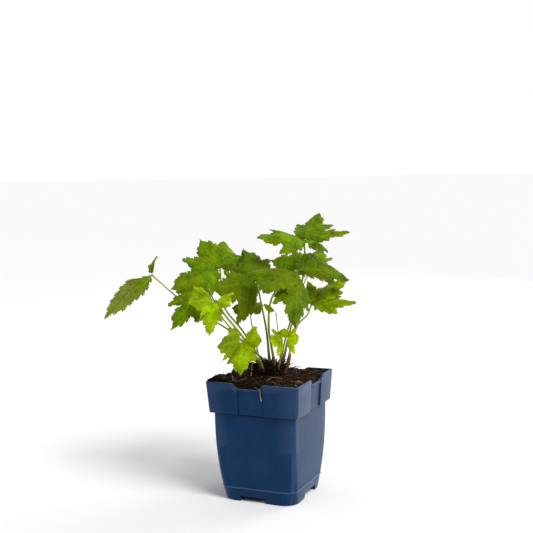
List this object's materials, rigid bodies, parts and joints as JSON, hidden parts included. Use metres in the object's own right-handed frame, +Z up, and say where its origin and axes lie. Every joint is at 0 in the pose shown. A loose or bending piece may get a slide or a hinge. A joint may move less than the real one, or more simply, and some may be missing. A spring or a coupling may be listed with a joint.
{
  "type": "potted anemone plant",
  "caption": "Young Japanese anemone with toothed three-part leaves on slender stalks, growing in soil in a square blue plastic nursery pot with a stepped collar.",
  "frame": {"origin": "centre of the pot's base, on the plane that the pot stands on", "axes": "+Z up along the pot's axis; -Y out of the pot's front face, +X to the pot's right as seen from the front, the four sides square to X and Y"},
  "size_m": [0.2342, 0.1781, 0.2566],
  "materials": {
    "pot": "satin",
    "soil": "matte",
    "crown": "matte",
    "dry_stem": "matte",
    "petiole": "satin",
    "leaf": "satin"
  },
  "bodies": {
    "root": {"pot": "pot", "soil": "soil", "crown": "crown", "old_stem_stub": "dry_stem", "far_left_petiole": "petiole", "far_left_leaflet_outer": "leaf", "far_left_leaflet_upper": "leaf", "far_left_leaflet_inner": "leaf", "upper_left_petiole": "petiole", "upper_left_leaflet_outer": "leaf", "upper_left_leaflet_back": "leaf", "upper_left_leaflet_inner": "leaf", "centre_petiole": "petiole", "centre_leaflet_front": "leaf", "centre_leaflet_upper": "leaf", "centre_leaflet_under": "leaf", "right_petiole": "petiole", "right_leaflet_inner": "leaf", "right_leaflet_outer": "leaf", "right_leaflet_front": "leaf", "top_petiole": "petiole", "top_leaflet_outer": "leaf", "top_leaflet_back": "leaf", "top_leaflet_right": "leaf", "top_leaflet_front": "leaf", "low_right_petiole": "petiole", "low_right_leaflet_outer": "leaf", "low_right_leaflet_back": "leaf", "low_right_leaflet_inner": "leaf", "yellow_petiole": "petiole", "yellow_leaflet_outer": "leaf", "yellow_leaflet_front": "leaf", "yellow_leaflet_inner": "leaf", "lower_left_petiole": "petiole", "lower_left_leaflet_outer": "leaf", "lower_left_leaflet_back": "leaf", "rim_petiole": "petiole", "rim_leaflet_front": "leaf", "rim_leaflet_outer": "leaf", "rim_leaflet_inner": "leaf", "small_petiole": "petiole", "small_leaflet_outer": "leaf", "small_leaflet_upper": "leaf", "small_leaflet_inner": "leaf", "under_petiole": "petiole", "under_leaflet_outer": "leaf", "under_leaflet_inner": "leaf", "bud_petiole": "petiole", "bud_leaflet_curl": "leaf", "back_petiole": "petiole", "back_leaflet_outer": "leaf", "back_leaflet_inner": "leaf", "back_leaflet_upper": "leaf"}
  },
  "joints": []
}
